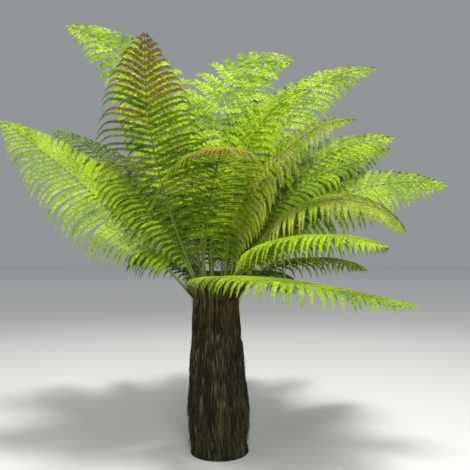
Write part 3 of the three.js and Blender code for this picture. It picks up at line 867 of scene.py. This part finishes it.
def makeMaterial(name, finish):
    material = bpy.data.materials.new(name)
    material.use_nodes = True
    tree = material.node_tree
    shader = tree.nodes["Principled BSDF"]
    shader.inputs["Specular IOR Level"].default_value = finish["specular"]
    spots = nodeIn(tree, "ShaderNodeGroup", {
        "Dark": colour(*finish["dark"]), "Light": colour(*finish["light"]), "Patch": finish["patch"],
        "Fine": finish["fine"], "Stretch": finish.get("stretch", (1, 1, 1))}, node_tree=mottle)
    total = 0.0
    for attribute, weight in finish.get("weights", {}).items():
        value = nodeIn(tree, "ShaderNodeAttribute", attribute_name=attribute).outputs["Fac"]
        shift = nodeIn(tree, "ShaderNodeMapRange", {
            "Value": value, "To Min": -weight / 2, "To Max": weight / 2})
        total = nodeIn(tree, "ShaderNodeMath", {0: shift.outputs[0], 1: total}, operation="ADD").outputs[0]
    if "weights" in finish:
        tree.links.new(total, spots.inputs["Shift"])
    base = spots.outputs["Color"]
    if "over" in finish:
        attribute, tone = finish["over"]
        value = nodeIn(tree, "ShaderNodeAttribute", attribute_name=attribute).outputs["Fac"]
        over = {"Factor": value, "A": base, "B": colour(*tone)}
        base = nodeIn(tree, "ShaderNodeMix", over, data_type="RGBA").outputs["Result"]
    rough = nodeIn(tree, "ShaderNodeMapRange", {
        "Value": spots.outputs["Mask"],
        "To Min": finish["rough"] + mottling["gloss"], "To Max": finish["rough"] - mottling["gloss"]})
    relief = nodeIn(tree, "ShaderNodeBump", {
        "Height": spots.outputs["Mask"], "Strength": finish["bump"], "Distance": mottling["depth"]})
    tree.links.new(base, shader.inputs["Base Color"])
    tree.links.new(rough.outputs[0], shader.inputs["Roughness"])
    tree.links.new(relief.outputs[0], shader.inputs["Normal"])
    return material


# dark, light: the colours between which a finish is mottled. patch, fine: scales of its patches and specks
# weights: values on the mesh, 0 to 1, that move the mottle from dark to light by so much
# over: a value on the mesh that lays another colour over it
# The first four colours are one green in four steps, from painted light to painted shade. The last two, olive
# and russet, are the fronds' own colours.
leafShades = {
    "sunlit": ((88, 120, 3), (152, 180, 10)),
    "fresh": ((72, 103, 4), (128, 156, 14)),
    "leafy": ((64, 96, 10), (116, 146, 28)),
    "shaded": ((54, 80, 14), (98, 124, 30)),
    "olive": ((84, 100, 20), (146, 158, 50)),
    "russet": ((98, 79, 26), (150, 123, 48)),
}
# leaves are painted lighter towards their lobes, a painted highlight, and by a tint that differs at random
leafFinish = dict(rough=0.6, patch=5.0, fine=45.0, bump=0.1, specular=0.1,
                  weights={"spread": 0.22, "tint": 0.35})
finishes = {
    "stalkSkin": dict(dark=(24, 20, 12), light=(72, 58, 34), rough=0.65, patch=9.0, fine=120.0, bump=0.4,
                      specular=0.15, over=("green", (92, 108, 34))),
    # the midribs are paler than the leaves: partly their own paler green, partly a painted highlight along
    # them
    "midribSkin": dict(dark=(100, 114, 24), light=(158, 168, 52), rough=0.5, patch=5.0, fine=90.0, bump=0.1,
                       specular=0.25),
    # the trunk's fibre is painted very dark: partly its own dark brown, partly painted shade
    "trunkFibre": dict(dark=(22, 22, 15), light=(76, 75, 50), rough=0.85, patch=7.0, fine=42.0, bump=0.9,
                       # pale lightens the old bases towards their crests: partly a painted highlight
                       specular=0.15, stretch=(2.4, 2.4, 0.3), weights={"pale": 0.6},
                       over=("rust", (62, 37, 24))),
    "rootFibre": dict(dark=(26, 22, 15), light=(72, 62, 42), rough=0.9, patch=9.0, fine=60.0, bump=0.2,
                      specular=0.2, weights={"tint": 0.5}),
    "crownHair": dict(dark=(32, 25, 16), light=(88, 68, 40), rough=0.7, patch=14.0, fine=90.0, bump=0.1,
                      specular=0.3, weights={"tint": 0.4}),
}
leafMaterials = {
    shade: makeMaterial(shade + "Leaf", dict(leafFinish, dark=dark, light=light))
    for shade, (dark, light) in leafShades.items()
}
materials = {name: makeMaterial(name, finish) for name, finish in finishes.items()}
print("materials made")

scatter = makeScatterTree()
tubes = makeTubeTree()
pinnule = makePinnule()
combs, leafletRibs, ribs = growFoliage()
print("foliage:", {shade: sum(len(r) for r in rows) for shade, rows in combs.items()}, "pinnules")

# Each shade of foliage becomes one piece, or more where it has too many triangles. For each frond the piece
# that holds most of its pinnules is found, and the frond's solids are hidden
names = list(fronds)
most = {name: (0, None) for name in names}
trianglesEach = sum(len(face.vertices) - 2 for face in pinnule.data.polygons)
for shade, rows in combs.items():
    rows = np.concatenate(rows)
    parts = math.ceil(len(rows) * trianglesEach / plant["mostTriangles"])
    for i, share in enumerate(np.array_split(rows, parts)):
        piece = pointsObject(f"{shade}Foliage{i + 1}", share)
        grow(piece, scatter, Shape=pinnule, Width=1.0, Tilt=pinnules["tilt"], Seed=plant["seed"],
             Material=leafMaterials[shade])
        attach(piece, "root")
        for number, count in zip(*np.unique(share[:, -1].astype(int), return_counts=True)):
            if count > most[names[number]][0]:
                most[names[number]] = (count, piece)
        print(piece.name, len(share) * trianglesEach, "triangles")
for name, (_, piece) in most.items():
    stretches = (f"frond_{name}", f"frond_{name}_lower", f"frond_{name}_outer")
    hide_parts(*[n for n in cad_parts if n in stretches])
bpy.data.objects.remove(pinnule)

bases = growBases()
ribPiece = grow(pathsObject("frondRibs", ribs), tubes,
                Sides=stalks["sides"], Material=materials["stalkSkin"])
midribPiece = grow(pathsObject("leafletMidribs", leafletRibs), tubes,
                   Sides=stalks["leafletSides"], Material=materials["midribSkin"])
basePiece = grow(pathsObject("frondBases", bases), tubes,
                 Sides=stubs["sides"], Material=materials["stalkSkin"])
for piece in (ribPiece, midribPiece, basePiece):
    piece.data.shade_smooth()

skin = trunkSkin()
trunkPiece = makeTrunk(skin)
trunkPiece.data.materials.append(materials["trunkFibre"])
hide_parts("trunk")
strand = makeStrand()
hairPiece = grow(pointsObject("crownHairs", crownHairs(bases)), scatter, Shape=strand, Width=hairs["width"],
                 Tilt=hairs["tilt"], Seed=hairs["seed"], Material=materials["crownHair"])
rootPiece = grow(pointsObject("rootFibres", trunkRoots(skin)), scatter, Shape=strand, Width=roots["width"],
                 Tilt=roots["tilt"], Seed=roots["seed"], Material=materials["rootFibre"])
bpy.data.objects.remove(strand)
for piece, slot in ((ribPiece, "frond_green"), (midribPiece, "frond_bright"), (basePiece, "trunk"),
                    (trunkPiece, "trunk"), (hairPiece, "trunk"), (rootPiece, "trunk")):
    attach(piece, "root")
    print(piece.name, len(piece.data.polygons), "faces")

# A pale floor, soft lamps, and a camera at eye height. Far off the floor is painted lighter, painted light
# for where the lamps fall off, so it turns as light as the air
studio = {
    "floor": 40.0,         # its radius and sides
    "floorSides": 96,
    "floorRough": 0.9,
    "floorTone": (202, 202, 198),
    "farTone": (244, 245, 244),
    "farFrom": 7.0,        # where the floor starts to turn to that, and where it ends
    "farTo": 20.0,
    "air": (232, 236, 240),
    "airStrength": 0.36,
    "lamps": {             # place, what it points at, size and power
        "keyLight": ((1.2, -2.0, 10.5), (0, 0, 1.6), 2.0, 1250),
        "frontLight": ((0.6, -6.0, 3.4), (0, 0, 1.6), 2.4, 300),
        "fillLight": ((-4.5, -4.0, 3.2), (0, 0, 1.6), 3.5, 30),
        "edgeLight": ((-1.2, 4.5, 5.2), (0, 0, 1.8), 2.5, 60),
    },
    "camera": (0.113, -4.2, 1.495),
    "cameraPitch": 91,     # degrees, 90 looks level
    "lens": 44.04,         # millimetres, and the width of the film
    "film": 36,
}
floorTurns = np.linspace(0, 360, studio["floorSides"], endpoint=False)
floorCorners = [(*(studio["floor"] * level(turn)[:2]), 0) for turn in floorTurns]
floor = meshObject("floor", floorCorners, [list(range(studio["floorSides"]))])
floorLook = bpy.data.materials.new("paleFloor")
floorLook.use_nodes = True
floorTree = floorLook.node_tree
floorShader = floorTree.nodes["Principled BSDF"]
floorShader.inputs["Roughness"].default_value = studio["floorRough"]
floorPlace = nodeIn(floorTree, "ShaderNodeTexCoord").outputs["Object"]
away = nodeIn(floorTree, "ShaderNodeVectorMath", {0: floorPlace}, operation="LENGTH").outputs["Value"]
# painted light: the floor's colour lightens with distance to make up for the light that falls off
far = nodeIn(floorTree, "ShaderNodeMapRange", {
    "Value": away, "From Min": studio["farFrom"], "From Max": studio["farTo"],
}, interpolation_type="SMOOTHSTEP").outputs[0]
tone = nodeIn(floorTree, "ShaderNodeMix", {
    "Factor": far, "A": colour(*studio["floorTone"]), "B": colour(*studio["farTone"]),
}, data_type="RGBA").outputs["Result"]
floorTree.links.new(tone, floorShader.inputs["Base Color"])
floor.data.materials.append(floorLook)

world = bpy.data.worlds.new("studioAir")
world.use_nodes = True
world.node_tree.nodes["Background"].inputs["Color"].default_value = colour(*studio["air"])
world.node_tree.nodes["Background"].inputs["Strength"].default_value = studio["airStrength"]
bpy.context.scene.world = world
bpy.context.scene.view_settings.view_transform = "Standard"

for name, (place, target, size, power) in studio["lamps"].items():
    light = bpy.data.lights.new(name, "AREA")
    light.size = size
    light.energy = power
    lamp = addObject(name, light)
    lamp.location = place
    aim = np.array(target) - np.array(place)
    lamp.rotation_euler = (math.pi / 2 + math.atan2(aim[2], math.hypot(aim[0], aim[1])), 0,
                           math.atan2(aim[1], aim[0]) - math.pi / 2)

camera = bpy.data.cameras.new("photoView")
camera.lens = studio["lens"]
camera.sensor_width = studio["film"]
viewer = addObject("photoView", camera)
viewer.location = studio["camera"]
viewer.rotation_euler = (math.radians(studio["cameraPitch"]), 0, 0)
bpy.context.scene.camera = viewer
print("studio set")
